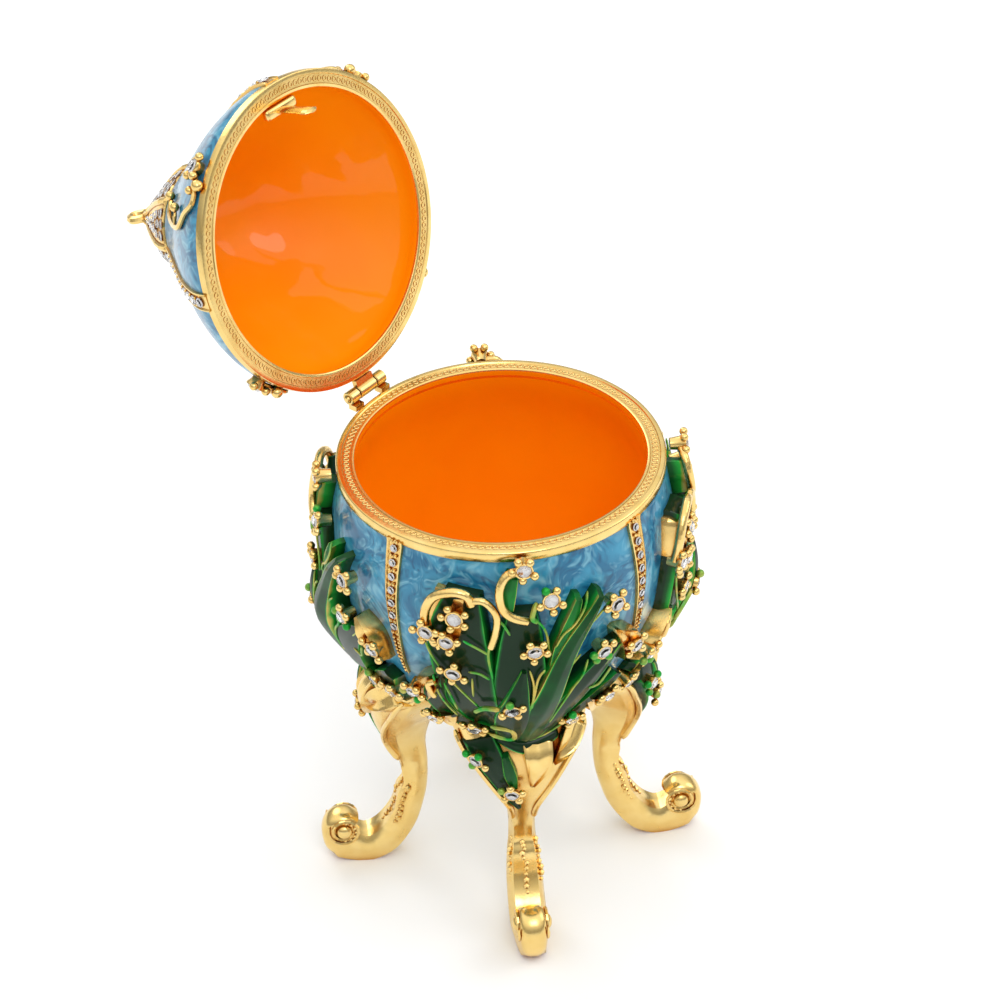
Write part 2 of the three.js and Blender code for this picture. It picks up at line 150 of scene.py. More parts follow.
# Matte gilding on a cast surface: pale where it is worn smooth, with painted shade in the recesses, where ambient
# occlusion darkens it to amber.
gilt = finish("gilded_casting", Metallic=1.0, Roughness=0.3)
spot = add_node(gilt, "TexCoord").outputs["Object"]
cloudy = add_node(gilt, "TexNoise", {"Vector": spot, "Scale": 1 / 0.003, "Detail": 3.0})  # 3 mm patches
grit = add_node(gilt, "TexNoise", {"Vector": spot, "Scale": 1 / 0.00035, "Detail": 2.0})  # 0.35 mm casting grain
# Painted shade: the ambient occlusion mask darkens the gilding to amber B8741A in hollows and between parts.
painted_recess_shade = add_node(gilt, "AmbientOcclusion", {"Distance": 0.0016}, samples=4)
depth = add_node(gilt, "MapRange", {"Value": painted_recess_shade.outputs["AO"], "From Min": 0.25, "From Max": 0.85})
tone = add_node(gilt, "Mix", {0: cloudy.outputs["Fac"], 6: linear("FBE09A"), 7: linear("E8C069")}, data_type="RGBA")
gilt_with_painted_shade = add_node(gilt, "Mix", {0: depth.outputs["Result"], 6: linear("B8741A"), 7: tone.outputs[2]},
                data_type="RGBA")
matte = add_node(gilt, "MapRange", {"Value": cloudy.outputs["Fac"], "To Min": 0.14, "To Max": 0.34})
uneven = add_node(gilt, "Bump", {"Height": cloudy.outputs["Fac"], "Strength": 0.25, "Distance": 0.0002})
grain = add_node(gilt, "Bump", {"Height": grit.outputs["Fac"], "Strength": 0.18, "Distance": 0.00005,
                                "Normal": uneven.outputs["Normal"]})
connect(gilt, Base_Color=gilt_with_painted_shade.outputs[2], Roughness=matte.outputs["Result"], Normal=grain.outputs["Normal"])

# Pearl enamel, two blues dragged through each other before firing and glazed over: swirls about 5 mm
# across with streaks under 1 mm, under a glassy coat.
pearl = finish("marbled_pearl_enamel", Roughness=0.35, Specular_IOR_Level=0.3, Coat_Weight=0.5, Coat_Roughness=0.03)
spot = add_node(pearl, "TexCoord").outputs["Object"]
drag = add_node(pearl, "TexNoise", {"Vector": spot, "Scale": 1 / 0.011, "Detail": 1.0})  # 11 mm strokes
pull = add_node(pearl, "VectorMath", {0: drag.outputs["Color"], 1: (0.014, 0.014, 0.014)}, operation="MULTIPLY")
swirled = add_node(pearl, "VectorMath", {0: spot, 1: pull.outputs["Vector"]}, operation="ADD")
body = add_node(pearl, "TexNoise", {"Vector": swirled.outputs["Vector"], "Scale": 1 / 0.007, "Detail": 1.5,
                                    "Distortion": 1.6})
fine = add_node(pearl, "TexNoise", {"Vector": swirled.outputs["Vector"], "Scale": 1 / 0.0042, "Detail": 1.0,
                                    "Distortion": 2.8})
deep = add_node(pearl, "MapRange", {"Value": body.outputs["Fac"], "From Min": 0.36, "From Max": 0.58})
blues = add_node(pearl, "Mix", {0: deep.outputs["Result"], 6: linear("106C94"), 7: linear("3594B8")},
                 data_type="RGBA")
pale = add_node(pearl, "MapRange", {"Value": fine.outputs["Fac"], "From Min": 0.52, "From Max": 0.72,
                                    "To Max": 0.6})
streaked = add_node(pearl, "Mix", {0: pale.outputs["Result"], 6: blues.outputs[2], 7: linear("86C6D8")},
                    data_type="RGBA")
dark = add_node(pearl, "MapRange", {"Value": fine.outputs["Fac"], "From Min": 0.44, "From Max": 0.3,
                                    "To Max": 0.7})
lined = add_node(pearl, "Mix", {0: dark.outputs["Result"], 6: streaked.outputs[2], 7: linear("0B4E74")},
                 data_type="RGBA")
connect(pearl, Base_Color=lined.outputs[2])

# Opaque orange enamel poured and swilled round the inside: glossy, with slow waves from its pouring.
orange = finish("poured_orange_enamel", Roughness=0.4, Specular_IOR_Level=0.1, Coat_Weight=0.4, Coat_Roughness=0.02)
spot = add_node(orange, "TexCoord").outputs["Object"]
waves = add_node(orange, "TexNoise", {"Vector": spot, "Scale": 1 / 0.011, "Detail": 1.0, "Distortion": 0.6})
flow = add_node(orange, "Bump", {"Height": waves.outputs["Fac"], "Strength": 0.6, "Distance": 0.0012})
tint = add_node(orange, "Mix", {0: waves.outputs["Fac"], 6: linear("FF9A00"), 7: linear("FA8E00")},
                data_type="RGBA")
connect(orange, Base_Color=tint.outputs[2], Coat_Normal=flow.outputs["Normal"])

BOWL_WALL = smooth_through([(0, -48.4), (6, -47.5), (11.8, -44.2), (17, -39), (20.8, -33.3), (23.8, -27),
                            (25.5, -20.5), (26.4, -13), (26.1, -7.5), (25.1, -2)], 6)
BOWL_RIM = [(25.2, -1.75), (25.3, -1.6), (25.3, -0.25), (25.15, -0.06), (24.95, 0), (24.5, 0), (24.35, -0.16),
            (22.95, -0.16), (22.85, 0), (22.65, 0), (22.5, -0.08), (22.42, -0.3)]
BOWL_LINING = smooth_through([(22.4, -0.45), (22.6, -3), (23.9, -10), (23.4, -18), (20.8, -27.5), (16, -36),
                              (8.6, -42.4), (0, -44.8)], 5)


def bowl_point(angle, z, out):
    return around(angle, read_curve(BOWL_WALL, z) + out, z)


def outward(place, angle, z):
    """The direction out of a turned surface."""
    slope = place(angle, z + 0.4, 0) - place(angle, z - 0.4, 0)
    return around(angle + 90, 1, 0).cross(slope).normalized()


def shell(outline, splits, finishes):
    """A turned shell with a finish for each stretch of its outline."""
    bm = bmesh.new()
    turned(bm, outline)
    for face in bm.faces:
        centre = face.calc_center_median()
        face.material_index = splits(centre.to_2d().length, centre.z)
    return bm


def stamped_rings(bm, radius, z, pitch, up=1):
    """A row of little rings in the rim's groove."""
    count = round(2 * math.pi * radius / pitch)
    ring = bmesh.new()
    arc = bmesh.ops.create_circle(ring, segments=5, radius=0.14,
                                  matrix=Matrix.Translation((0.38, 0, 0)) @ Matrix.Rotation(math.pi / 2, 4, "X"))
    bmesh.ops.spin(ring, geom=ring.verts[:] + ring.edges[:], axis=(0, 0, 1), cent=(0, 0, 0), angle=2 * math.pi,
                   steps=8, use_merge=True)
    bmesh.ops.recalc_face_normals(ring, faces=ring.faces)
    pattern = bpy.data.meshes.new("stamped_ring")
    ring.to_mesh(pattern)
    for k in range(count):
        stamp(bm, pattern, Matrix.Translation(around(360 * k / count, radius, z)))
    bpy.data.meshes.remove(pattern)


def bowl_finish(radius, z):
    if z > -1.78 and radius > 22.41:
        return 0
    return 1 if radius > read_curve(BOWL_LINING, z) + 0.4 or z < -45 else 2


bm = shell(BOWL_WALL + BOWL_RIM + BOWL_LINING, bowl_finish, 3)
bowl = make_piece("egg_bowl", bm, [gilt, pearl, orange], "base")
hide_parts("bowl")
bm = bmesh.new()
stamped_rings(bm, 23.65, -0.17, 1.08)
make_piece("bowl_rim_rings", bm, [gilt], "base")

# ---------- the stone strips ----------
# Four raised gilt strips run down the bowl from its rim to a point, and four up the lid. Each is a tray
# with plain borders; clear foil-backed crystals are set in a row between pairs of tiny bead claws.
crystal = finish("clear_crystal", Roughness=0.0, IOR=1.55, Transmission_Weight=1.0, Base_Color=linear("FFFFFF"))
foil = finish("silver_foil_backing", Metallic=0.25, Roughness=0.3, Base_Color=linear("FFFFFF"))


def pattern_of(bm, name):
    """A small mesh to be stamped many times."""
    mesh = bpy.data.meshes.new(name)
    bm.to_mesh(mesh)
    bm.free()
    return mesh


bm = bmesh.new()
bmesh.ops.create_cone(bm, cap_ends=True, segments=8, radius1=1, radius2=0.84, depth=0.24)
table = max(bm.faces, key=lambda f: f.calc_center_median().z)
lifted = bmesh.ops.extrude_face_region(bm, geom=[table])["geom"]
table_rim = [g for g in lifted if isinstance(g, bmesh.types.BMVert)]
bmesh.ops.transform(bm, verts=table_rim, matrix=Matrix.LocRotScale(
    Vector((0, 0, 0.2)), Quaternion((0, 0, 1), math.radians(22.5)), Vector((0.66, 0.66, 1))))
culet = min(bm.faces, key=lambda f: f.calc_center_median().z)
poked = bmesh.ops.poke(bm, faces=[culet])
bmesh.ops.translate(bm, verts=poked["verts"], vec=(0, 0, -0.3))
for face in bm.faces:
    face.material_index = 1 if face.calc_center_median().z < -0.13 else 0
bmesh.ops.triangulate(bm, faces=[f for f in bm.faces if len(f.verts) == 4])
brilliant = pattern_of(bm, "brilliant")

bm = bmesh.new()
bmesh.ops.create_icosphere(bm, subdivisions=1, radius=1)
bead = pattern_of(bm, "bead")
bm = bmesh.new()
bmesh.ops.create_icosphere(bm, subdivisions=2, radius=1)
ball = pattern_of(bm, "ball")


def seat(place, direction, size, spin=0):
    """A place for a stamped shape, its top towards the direction."""
    turn = Vector((0, 0, 1)).rotation_difference(direction) @ Quaternion((0, 0, 1), spin)
    return Matrix.LocRotScale(place, turn, Vector((size, size, size)))


def strip(metal, stones, place, angle, heights, widths, stone_rows, bead_rows):
    """A stone strip down a turned surface: its tray, its crystals as (z, radius), and its beads as z."""
    rows = 36
    grid = bmesh.new()
    bmesh.ops.create_grid(grid, x_segments=8, y_segments=rows, size=0.5)
    steps = {0: -0.3, 1: 0.5, 2: 0.55, 3: 0.3, 4: 0.28}
    across = {0: 1.0, 1: 0.94, 2: 0.8, 3: 0.66, 4: 0.0}
    for vert in grid.verts:
        column = round((vert.co.x + 0.5) * 8)
        along = vert.co.y + 0.5
        z = heights[0] + (heights[1] - heights[0]) * along
        level = min(column, 8 - column)
        side = -1 if column < 4 else 1
        half = widths[0] + (widths[1] - widths[0]) * along ** 1.15
        reach = place(0, z, 0).x
        vert.co = place(angle + math.degrees(side * half * across[level] / reach), z, steps[level])
    pressed = bmesh.ops.extrude_face_region(grid, geom=grid.faces[:])["geom"]
    for vert in pressed:
        if isinstance(vert, bmesh.types.BMVert):
            vert.co.xy *= 1 - 0.9 / max(vert.co.xy.length, 1)
    bmesh.ops.recalc_face_normals(grid, faces=grid.faces)
    tray = pattern_of(grid, "tray")
    stamp(metal, tray, Matrix.Identity(4))
    bpy.data.meshes.remove(tray)
    for z, radius in stone_rows:
        stamp(stones, brilliant, seat(place(angle, z, 0.62), outward(place, angle, z), radius, z))
    for z, aside, radius in bead_rows:
        for side in (-1, 1) if aside else (0,):
            turn = math.degrees(side * aside / place(0, z, 0).x)
            stamp(metal, bead, seat(place(angle + turn, z, 0.5), outward(place, angle, z), radius))


metal, stones = bmesh.new(), bmesh.new()
for angle in (-90, 0, 90, 180):
    stone_rows = [(-2.6 - 2.4 * k, 0.68) for k in range(7)]
    bead_rows = [(-1.4, 0.45, 0.3)] + [(-3.8 - 2.4 * k, 0.42, 0.33) for k in range(7)]
    bead_rows += [(-19.3 - 0.85 * k, 0.4 - 0.035 * k, 0.32) for k in range(6)]
    bead_rows += [(-24.4 - 0.8 * k, 0, 0.32 - 0.02 * k) for k in range(4)]
    strip(metal, stones, bowl_point, angle, (-1.2, -27.6), (1.5, 0.3), stone_rows, bead_rows)
make_piece("bowl_stone_strips", metal, [gilt], "base")
make_piece("bowl_strip_crystals", stones, [crystal, foil], "base", sharp=1)

# ---------- the legs ----------
# Four cabriole legs cast separately and soldered under the bowl: a flared top, a narrow neck and a
# strap foot rolled up into a scroll with a button in its eye. Gilded; the top carries a leaf.
LEG_ANGLES = {"front_left": -135, "front_right": -45, "back_right": 45, "back_left": 135}
LEG_ROWS = [
    ((20.6, -38.4), (12, -38.4), (15.6, -38.4), 10.7), ((22.4, -41.5), (9, -41.5), (16.4, -41), 9.9),
    ((22.7, -45.5), (8.8, -45), (17.6, -45), 7.6), ((21.9, -50), (12, -49), (18.6, -49.8), 5),
    ((20, -55), (13.6, -54.5), (18, -55), 2.8), ((18.2, -59.2), (13.5, -59.4), (16, -59.3), 2.2),
    ((17.6, -63.2), (13.7, -64), (15.7, -63.6), 2.2), ((18.8, -65.4), (14.5, -68), (16.5, -66.6), 2.6),
    ((19.7, -69), (16, -72.3), (17.8, -70.6), 2.9), ((21.8, -72.2), (19, -76.4), (20.4, -74.2), 3),
    ((24, -73.6), (23, -78.35), (23.4, -76), 3), ((25.9, -72.8), (26.2, -78.35), (26, -75.6), 2.8),
]
SCROLL = Vector((27.8, 0, -72))


def scroll_rows():
    rows = []
    for k, reach in enumerate((5.6, 3.9, 3.3, 3, 2.9, 2.9)):
        turn = math.radians(-62 + 212 * k / 5)
        ray = lambda r: (SCROLL.x + r * math.cos(turn), SCROLL.z + r * math.sin(turn))
        rows.append((ray(0.3), ray(reach), ray(reach * 0.55), 2.3))
    return rows


leg_rows = LEG_ROWS + scroll_rows()
outer, inner, edge = [smooth_through([row[k] for row in leg_rows], 4) for k in range(3)]
half_widths = smooth_through([(row[3], 0) for row in leg_rows], 4)


def sweep(bm, path, radii, sides=8, depth=None):
    """A closed round wire along points, with a radius at each, or one that tapers at both ends."""
    count = len(path)
    if not isinstance(radii, (list, tuple)):
        radii = [radii * min(1, 0.45 + 0.9 * min(k, count - 1 - k)) for k in range(count)]
    verts = bmesh.ops.create_circle(bm, cap_ends=True, segments=sides, radius=1)["verts"]
    face = verts[0].link_faces[0]
    layer = bm.verts.layers.float.get("enamel_depth")
    turn, heading, old = None, Vector((0, 0, 1)), Matrix.Identity(4)
    for k, point in enumerate(path):
        ahead = (path[min(k + 1, count - 1)] - path[max(k - 1, 0)]).normalized()
        step = heading.rotation_difference(ahead)
        turn = step @ turn if turn else step
        heading = ahead
        if k:
            made = bmesh.ops.extrude_face_region(bm, geom=[face])["geom"]
            verts = [g for g in made if isinstance(g, bmesh.types.BMVert)]
            face = next(g for g in made if isinstance(g, bmesh.types.BMFace))
        new = Matrix.LocRotScale(point, turn, Vector((radii[k],) * 3))
        bmesh.ops.transform(bm, matrix=new @ old.inverted(), verts=verts)
        if layer and depth is not None:
            for vert in verts:
                vert[layer] = depth
        old = new


def blend_pair(a, b, share):
    return a + (b - a) * share


bm = bmesh.new()
rows = len(outer) - 1
bmesh.ops.create_grid(bm, x_segments=12, y_segments=rows, size=0.5)
back = [v for v in bm.verts]
front = [g for g in bmesh.ops.extrude_face_region(bm, geom=bm.faces[:], use_keep_orig=True)["geom"]
         if isinstance(g, bmesh.types.BMVert)]
for verts, side in ((front, outer), (back, inner)):
    for vert in verts:
        share = vert.co.x * 2
        row = round((vert.co.y + 0.5) * rows)
        full = max(0.0, 1 - abs(share) ** 2.6) ** 0.5
        flute = 0.42 * math.exp(-((abs(share) - 0.66) / 0.16) ** 2) if side is outer and row > 20 else 0
        point = blend_pair(edge[row], side[row], full)
        push = (side[row] - edge[row]).normalized() * flute
        height = side[row].y if side is inner and full > 0.5 and row < 48 else point.y
        vert.co = (point.x + push.x, share * half_widths[row].x, height + push.y)
bmesh.ops.recalc_face_normals(bm, faces=bm.faces)
for side in (-1, 1):
    bmesh.ops.create_uvsphere(bm, u_segments=20, v_segments=10, radius=1.35, matrix=Matrix.Translation(
        (SCROLL.x, side * 2.2, SCROLL.z)) @ Matrix.Diagonal((1, 0.75, 1, 1)))
    spiral = [SCROLL + Vector((reach * math.cos(t), side * 2.3, reach * math.sin(t)))
              for t, reach in [(0.4 - 0.42 * k, 2.75 - 0.055 * k) for k in range(24)]]
    sweep(bm, spiral, 0.3, 6)
    for k in range(7):
        turn = math.radians(100 + 28 * k)
        bmesh.ops.create_icosphere(bm, subdivisions=1, radius=0.34, matrix=Matrix.Translation(
            SCROLL + Vector((1.85 * math.cos(turn), side * 2.35, 1.85 * math.sin(turn)))))
# A grainy relief runs down the groove in front of the foot, and along its sides at the bend.
grains = random.Random(3)
for row, sides in [(r, (0,)) for r in range(25, 36)] + [(r, (-1, 1)) for r in range(24, 34)]:
    for side in sides:
        across = side * half_widths[row].x * 0.82 + grains.uniform(-0.35, 0.35)
        spot = blend_pair(edge[row], outer[row], 0.6 if side else 0.97)
        bmesh.ops.create_icosphere(bm, subdivisions=1, radius=grains.uniform(0.35, 0.6), matrix=Matrix.Translation(
            (spot.x, across, spot.y)))
room = bmesh.new()
turned(room, [(r + 0.3 if r else 0, z - 0.2) for r, z, _ in BOWL_WALL] + [(25.2, 4), (0, 4)], 64)
seat_mesh = pattern_of(room, "seat_room")
seat_object = bpy.data.objects.new("seat_room", seat_mesh)
seat_mesh.transform(TO_ROW)
bpy.context.scene.collection.objects.link(seat_object)
for corner, angle in LEG_ANGLES.items():
    leg = make_piece(f"cabriole_leg_{corner}", bm, [gilt], "base", angle)
    cut = leg.modifiers.new("seat", "BOOLEAN")
    cut.operation, cut.solver, cut.object = "DIFFERENCE", "EXACT", seat_object
    bpy.context.view_layer.update()
    carved = bpy.data.meshes.new_from_object(leg.evaluated_get(bpy.context.evaluated_depsgraph_get()))
    leg.modifiers.clear()
    leg.data = carved
    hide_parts(f"leg_{corner}")
bm.free()
bpy.data.objects.remove(seat_object)


def over_leg(across, z, height, share=1.0):
    """A place over the outer face of a leg that reaches out along +X, as over_bowl gives over the bowl."""
    row = next((r for r in range(28) if outer[r + 1].y <= z), 28)
    along = min(max((outer[row].y - z) / (outer[row].y - outer[row + 1].y), 0), 1)
    half, rim_x, front_x = [blend_pair(rail[row].x, rail[row + 1].x, along) for rail in (half_widths, edge, outer)]
    full = max(0.0, 1 - min(abs(across) / half, 1) ** 2.6) ** 0.5
    return Vector((blend_pair(rim_x, front_x, full) + (share * height if height > SUNK else SUNK), across, z))

# ---------- the flower sprays ----------
# One casting on each face of the bowl: broad lily leaves that climb from the leg, with rolled edges,
# wiry stems and open flower cups, each holding a clear crystal among round buds. Translucent green
# enamel lies over the gilding: black-green where it is thick, bright where it thins to the edges.
green = finish("translucent_green_enamel", Coat_Weight=0.3, Coat_Roughness=0.05, Roughness=0.5,
               Specular_IOR_Level=0.1)
thick = add_node(green, "Attribute", attribute_name="enamel_depth").outputs["Fac"]
spot = add_node(green, "TexCoord").outputs["Object"]
clouds = add_node(green, "TexNoise", {"Vector": spot, "Scale": 1 / 0.004, "Detail": 2.0})
vary = add_node(green, "MapRange", {"Value": clouds.outputs["Fac"], "From Min": 0.3, "From Max": 0.7,
                                    "To Min": -0.12, "To Max": 0.12})
level = add_node(green, "Math", {0: thick, 1: vary.outputs["Result"]}, operation="ADD", use_clamp=True)
shallow = add_node(green, "MapRange", {"Value": level.outputs["Value"], "From Min": 0.0, "From Max": 0.2})
middle = add_node(green, "MapRange", {"Value": level.outputs["Value"], "From Min": 0.2, "From Max": 0.55})
full = add_node(green, "MapRange", {"Value": level.outputs["Value"], "From Min": 0.55, "From Max": 0.9})
first = add_node(green, "Mix", {0: shallow.outputs["Result"], 6: linear("D8C063"), 7: linear("22A83C")},
                 data_type="RGBA")
second = add_node(green, "Mix", {0: middle.outputs["Result"], 6: first.outputs[2], 7: linear("07521D")},
                  data_type="RGBA")
third = add_node(green, "Mix", {0: full.outputs["Result"], 6: second.outputs[2], 7: linear("062A10")},
                 data_type="RGBA")
metallic = add_node(green, "MapRange", {"Value": level.outputs["Value"], "From Min": 0.1, "From Max": 0.6,
                                        "To Min": 0.9, "To Max": 0.0})
connect(green, Base_Color=third.outputs[2], Metallic=metallic.outputs["Result"])

MM_PER_DEGREE = math.radians(25)
SUNK = -1.2  # the height of a leaf's buried underside


def spray_lift(angle, z):
    """The leaves' height over the bowl: more low down in the middle."""
    low = min(max((-z - 13) / 14, 0), 1)
    return 2.1 + 3.0 * low * low * (3 - 2 * low) * math.exp(-((angle / 15) ** 2))


def on_spray(points, steps=5, out=0.0):
    """A smooth path over the spray through (angle, z) or (angle, z, height) points."""
    path = []
    for p in smooth_through([(*p, 0.0)[:3] for p in points], steps):
        path.append(bowl_point(p.x, p.y, spray_lift(p.x, p.y) + p.z + out))
    return path


def over_bowl(across, z, height, share=1.0):
    """A place over the bowl by mm across the panel from its middle, with the share of its height that it
    keeps, or sunk in the wall."""
    angle = across / MM_PER_DEGREE
    return bowl_point(angle, z, share * (height + spray_lift(angle, z)) if height > SUNK else SUNK)


def leaf(bm, spine, halves, rise=(0.0, 0.0, 0.0), fold=0.4, bright=0.0, lip=0.25, rows=26, columns=14,
         place=over_bowl):
    """A leaf along (mm across, z) points, with half widths along it, rises at its base, middle and tip,
    and a fold along its midrib. Its underside is sunk in what it lies on."""
    layer = bm.verts.layers.float["enamel_depth"]
    under = bmesh.ops.create_grid(bm, x_segments=columns, y_segments=rows, size=0.5)["verts"]
    faces = list({f for v in under for f in v.link_faces})
    over = [g for g in bmesh.ops.extrude_face_region(bm, geom=faces, use_keep_orig=True)["geom"]
            if isinstance(g, bmesh.types.BMVert)]
    rib = smooth_through(spine, 8)
    width = smooth_through([(h, 0) for h in halves], 8)
    lifts = smooth_through([(h, 0) for h in rise], 8)

    def along(curve, share):
        at = share * (len(curve) - 1)
        k = min(int(at), len(curve) - 2)
        return curve[k] + (curve[k + 1] - curve[k]) * (at - k)

    for verts, top in ((over, True), (under, False)):
        for vert in verts:
            u, v = vert.co.x * 2, vert.co.y + 0.5
            run = (along(rib, min(v + 0.03, 1)) - along(rib, max(v - 0.03, 0))).normalized()
            centre = along(rib, v) + Vector((-run.y, run.x, 0)) * u * along(width, v).x
            rim = max(abs(u), 1 - v * 8 if v < 0.125 else 0, (v - 0.9) * 10 if v > 0.9 else 0)
            crest = math.exp(-((rim - 0.86) / 0.09) ** 2)
            height = along(lifts, v).x + fold * (1 - abs(u)) + lip * crest
            vert.co = place(centre.x, centre.y, height if top else SUNK, 1 - 0.55 * rim ** 14)
            vert[layer] = max(0.0, 1.0 - bright - 0.8 * crest) if top else 1.0
    bmesh.ops.recalc_face_normals(bm, faces=list({f for v in under + over for f in v.link_faces}))


leaves = bmesh.new()
leaves.verts.layers.float.new("enamel_depth")
# (spine, half widths, rises at the base, middle and tip, fold, brightness)
LEAVES = [
    ([(-14, -37), (-19, -24), (-20.6, -14), (-18.5, -6)], [2.4, 4.6, 4.9, 4.2, 2.6], (0, 0.2, 0.3), -0.6, 0.0),
    ([(-3, -34), (-1.5, -20), (-0.5, -9)], [3, 4, 3.4, 2.2], (-0.4, -0.2, -0.1), 0.3, 0.0),
    ([(-6, -37), (-3.6, -27), (-0.5, -19)], [2.2, 2.8, 1.6, 0.3], (0.7, 0.8, 0.5), 0.4, 0.05),
    ([(0, -38), (6, -26), (14, -16.5), (25, -8.2)], [3, 2.6, 1.9, 1.3, 0.5], (0.5, 0.7, 0.5), 0.6, 0.25),
    ([(7, -27), (11, -17), (17.5, -8)], [0.8, 1.3, 1.2, 0.5], (0.3, 0.2, 0.1), 0.4, 0.5),
    ([(3, -38), (14, -30), (24, -24), (34, -19.6)], [2.6, 3.2, 2.8, 1.8, 0.5], (0.3, 0.3, 0.2), 0.5, 0.0),
    ([(-13, -38), (-27, -35), (-31, -29), (-27, -22.6)], [1.6, 2.9, 2.4, 0.9], (0.3, 0.4, 0.4), -0.5, 0.1),
    ([(-38, -33), (-20, -37), (0, -37.5), (20, -37), (38, -33)], [0.8, 2.6, 3.6, 2.6, 0.8], (0, 0, 0), 0.3, 0.0),
    ([(-4.5, -8.5), (-4.4, -5.5), (-2.8, -3)], [0.7, 1.2, 0.8], (0.2, 0.2, 0.1), 0.3, 0.55),
    ([(20, -36), (30, -33), (38, -29)], [1.6, 2.4, 1.2], (0, 0, 0), 0.3, 0.1),
]
for spine, halves, rise, fold, bright in LEAVES:
    leaf(leaves, [(angle * MM_PER_DEGREE, z) for angle, z in spine], halves, rise, fold, bright)

# The flared top of each leg carries on the spray: a dark leaf on its left wing, a bright one below it,
# and two gilded leaf tips folded over on its right.
leg_top = bmesh.new()
leg_top.verts.layers.float.new("enamel_depth")
for spine, halves, rise, fold, bright in (
    ([(-6.8, -39.2), (-4.9, -43.5), (-2.4, -49.5), (-0.6, -54.5)], [2.6, 2.6, 1.9, 1.1, 0.2], (0.6, 0.7, 0.4), -0.3, 0.0),
    ([(-3, -41), (-2.2, -45), (-1.4, -49)], [0.6, 1.1, 0.2], (0.9, 1, 0.7), 0.4, 0.45),
    ([(-4, -38.6), (0.6, -39.6), (5.5, -38.6)], [0.6, 1.6, 0.8], (0.6, 0.8, 0.6), 0.4, 0.1),
):
    leaf(leg_top, spine, halves, rise, fold, bright, place=over_leg)
leg_tips = bmesh.new()
leg_tips.verts.layers.float.new("enamel_depth")
for spine, halves, rise, fold in (
    ([(2.2, -39.4), (2.2, -43), (1, -48)], [2.7, 2.2, 0.3], (0.8, 1.2, 0.4), 0.5),
    ([(8.6, -38.8), (7, -41), (4.4, -43.6)], [2.1, 1.9, 0.3], (1, 1.5, 0.8), -1.1),
):
    leaf(leg_tips, spine, halves, rise, fold, 0, lip=0.5, place=over_leg)
for path in ([(-10.2, -39.4), (-8.6, -43), (-5.2, -48.6), (-2.3, -54), (-1.7, -58)],
             [(10.2, -39.4), (8.6, -43), (5.2, -48.6), (2.3, -54), (1.7, -58)]):
    sweep(leg_tips, [over_leg(p.x, p.y, 0.25) for p in smooth_through(path, 4)], 0.5, 8)

# Veins and leaf edges stand up as thin wires that the enamel leaves almost bare.
VEINS = [
    [(-16.8, -6.3), (-11.7, -6.5), (-8.5, -8.8), (-9, -12.4), (-11, -16.2), (-9.8, -20.7)],
    [(-18.4, -13.9), (-14.3, -15.1), (-11, -16.2)], [(-17.2, -20.1), (-13.8, -20.1), (-10.8, -20.9)],
    [(-16.2, -21.4), (-16.3, -25.4)], [(-30.6, -14.5), (-29.1, -17.6), (-24.7, -21.8), (-18.9, -25.6), (-15, -28)],
    [(1, -19.1), (2, -21.8), (1.6, -25.1), (1.1, -28.8)],
    [(5.6, -19.4), (3.2, -21), (0.9, -26.5), (-3.5, -33.7), (-2.7, -36.2), (4, -37.6), (8.7, -33.7)],
    [(7.7, -24.5), (9.6, -22.6), (13.2, -20.5), (17.2, -18.5)],
    [(8, -32.9), (10.9, -29), (14.7, -25.4), (18.3, -23.2), (19.8, -20.2)],
    [(21.9, -27.5), (26, -27.8), (28.2, -26.2), (29.7, -24.7)], [(26.1, -23.3), (30, -21.2), (32.7, -19.9)],
    [(8.1, -20.6), (10.4, -18), (15.3, -15.1), (21.8, -12.5), (27.1, -10.1)],
    [(9.1, -15.8), (11.5, -13.8), (15.3, -12.2), (18.7, -9.5), (19.7, -7)],
    [(-7.7, -9.6), (-6, -10.7), (-4.4, -12.5)], [(2.8, -9.7), (5.6, -11.7), (6.7, -14), (7, -16.7)],
    [(-29.3, -22.5), (-29.1, -25.9), (-27.5, -29.7), (-24.7, -33.1)],
    [(-25.9, -23.9), (-24.3, -27.3), (-23.5, -30.8)],
    [(-26.2, -38), (-17.3, -37.6), (-4.3, -36.4), (7.9, -37.6), (16.5, -37)],
]
for vein in VEINS:
    sweep(leaves, on_spray(vein, 4, 0.55), 0.2, 6, 0.12)
for stem in ([(-16.6, -29.3), (-12.8, -27.3), (-8.1, -26.7)], [(-11.7, -33), (-5, -32.6), (-4.3, -36), (-12.7, -36.4)],
             [(3.6, -6.7), (2.2, -9.3), (3.9, -10.1)]):
    sweep(leaves, on_spray(stem, 4, 1.0), 0.42, 8, 0.1)

metal, stones = bmesh.new(), bmesh.new()
# Rolled gilt edges of the leaves that curl open.
for radius, points in (
    (0.75, [(-30.2, -13, 0), (-29.6, -9.2, 0.8), (-26.7, -6.2, 1.2), (-21.3, -4.9, 1.3), (-16.9, -5.4, 1), (-15.4, -7.4, 0.4)]),
    (0.6, [(-16.4, -6.6, 0.6), (-11.7, -6.2, 1), (-8.2, -8.6, 0.9), (-8.6, -12, 0.6), (-10.4, -15.4, 0.3)]),
    (0.7, [(0.4, -1.7, 0.4), (-4.6, -2, 0.9), (-7, -4.1, 1.1), (-6.6, -7, 1), (-3.8, -9, 0.8), (1.6, -10.4, 0.3)]),
    (0.5, [(-29, -24, 0.5), (-31.5, -25, 1), (-30, -28, 1)]),
):
    sweep(metal, on_spray(points, 5), radius, 10)

